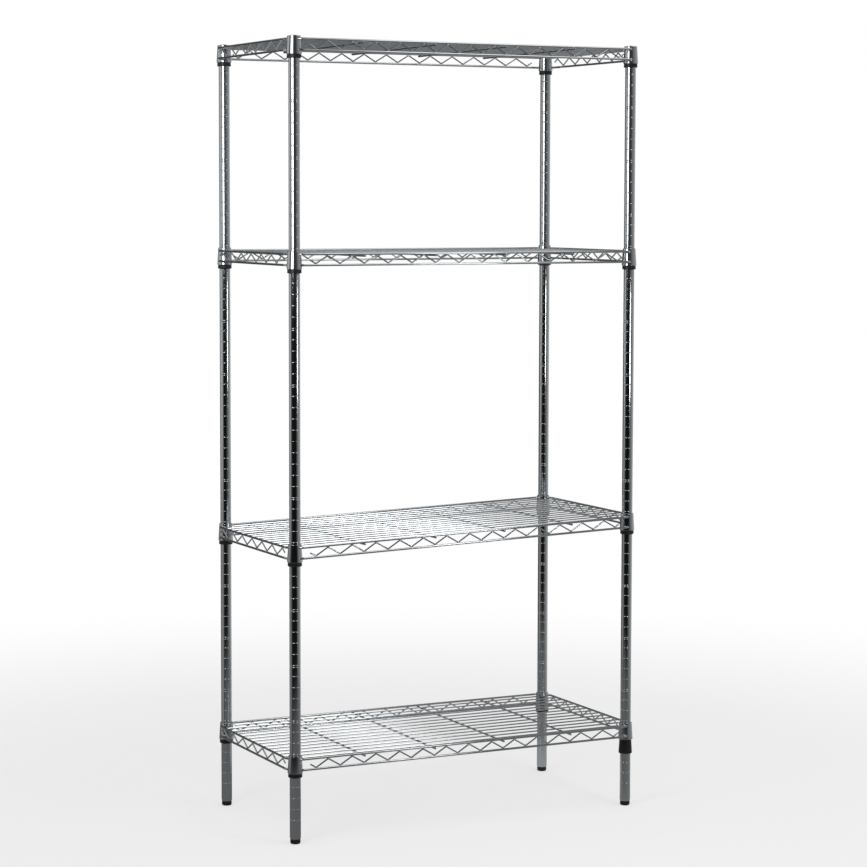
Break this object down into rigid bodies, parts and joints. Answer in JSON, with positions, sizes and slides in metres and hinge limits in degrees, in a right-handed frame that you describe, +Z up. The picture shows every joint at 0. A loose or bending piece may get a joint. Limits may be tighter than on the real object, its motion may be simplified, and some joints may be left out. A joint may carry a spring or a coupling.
{
  "type": "wire shelving unit",
  "caption": "Free-standing chromed wire shelving unit: grooved posts on levelling feet carry wire-deck shelves that wedge on clip-on tapered sleeves.",
  "frame": {"origin": "on the floor, at the centre of the bounding box's bottom", "axes": "+X along the length towards the right end, +Y along the depth towards the back, +Z up"},
  "size_m": [0.9096, 0.4654, 1.8258],
  "materials": {
    "chrome_steel": "polished",
    "black_plastic": "moulded"
  },
  "bodies": {
    "frame": {"lower_post_back_left": "chrome_steel", "lower_post_front_left": "chrome_steel", "lower_post_back_right": "chrome_steel", "lower_post_front_right": "chrome_steel", "upper_post_back_left": "chrome_steel", "upper_post_front_left": "chrome_steel", "upper_post_back_right": "chrome_steel", "upper_post_front_right": "chrome_steel", "joint_sockets": "chrome_steel", "joint_studs": "chrome_steel", "foot_inserts": "chrome_steel", "cap_back_left": "chrome_steel", "cap_front_left": "chrome_steel", "cap_back_right": "chrome_steel", "cap_front_right": "chrome_steel", "bottom_sleeve_back_left": "black_plastic", "bottom_sleeve_front_left": "black_plastic", "bottom_sleeve_back_right": "black_plastic", "bottom_sleeve_front_right": "black_plastic", "lower_sleeve_back_left": "black_plastic", "lower_sleeve_front_left": "black_plastic", "lower_sleeve_back_right": "black_plastic", "lower_sleeve_front_right": "black_plastic", "upper_sleeve_back_left": "black_plastic", "upper_sleeve_front_left": "black_plastic", "upper_sleeve_back_right": "black_plastic", "upper_sleeve_front_right": "black_plastic", "top_sleeve_back_left": "black_plastic", "top_sleeve_front_left": "black_plastic", "top_sleeve_back_right": "black_plastic", "top_sleeve_front_right": "black_plastic"},
    "bottom_shelf": {"bottom_collars": "chrome_steel", "bottom_rails": "chrome_steel", "bottom_zigzags": "chrome_steel", "bottom_deck_wires": "chrome_steel", "bottom_ribs": "chrome_steel"},
    "lower_shelf": {"lower_collars": "chrome_steel", "lower_rails": "chrome_steel", "lower_zigzags": "chrome_steel", "lower_deck_wires": "chrome_steel", "lower_ribs": "chrome_steel"},
    "upper_shelf": {"upper_collars": "chrome_steel", "upper_rails": "chrome_steel", "upper_zigzags": "chrome_steel", "upper_deck_wires": "chrome_steel", "upper_ribs": "chrome_steel"},
    "top_shelf": {"top_collars": "chrome_steel", "top_rails": "chrome_steel", "top_zigzags": "chrome_steel", "top_deck_wires": "chrome_steel", "top_ribs": "chrome_steel"},
    "foot_back_left": {"foot_pad_back_left": "black_plastic", "foot_stem_back_left": "chrome_steel"},
    "foot_front_left": {"foot_pad_front_left": "black_plastic", "foot_stem_front_left": "chrome_steel"},
    "foot_back_right": {"foot_pad_back_right": "black_plastic", "foot_stem_back_right": "chrome_steel"},
    "foot_front_right": {"foot_pad_front_right": "black_plastic", "foot_stem_front_right": "chrome_steel"}
  },
  "joints": [
    {"name": "bottom_shelf_lift", "type": "slide", "parent": "frame", "child": "bottom_shelf", "axis": [0, 0, 1], "range_m": [0, 0.42]},
    {"name": "lower_shelf_lift", "type": "slide", "parent": "frame", "child": "lower_shelf", "axis": [0, 0, 1], "range_m": [0, 0.575]},
    {"name": "upper_shelf_lift", "type": "slide", "parent": "frame", "child": "upper_shelf", "axis": [0, 0, 1], "range_m": [0, 0.42]},
    {"name": "top_shelf_lift", "type": "slide", "parent": "frame", "child": "top_shelf", "axis": [0, 0, 1], "range_m": [0, 0.06]},
    {"name": "foot_screw_back_left", "type": "slide", "parent": "frame", "child": "foot_back_left", "axis": [0, 0, -1], "range_m": [0, 0.02]},
    {"name": "foot_screw_front_left", "type": "slide", "parent": "frame", "child": "foot_front_left", "axis": [0, 0, -1], "range_m": [0, 0.02]},
    {"name": "foot_screw_back_right", "type": "slide", "parent": "frame", "child": "foot_back_right", "axis": [0, 0, -1], "range_m": [0, 0.02]},
    {"name": "foot_screw_front_right", "type": "slide", "parent": "frame", "child": "foot_front_right", "axis": [0, 0, -1], "range_m": [0, 0.02]}
  ]
}
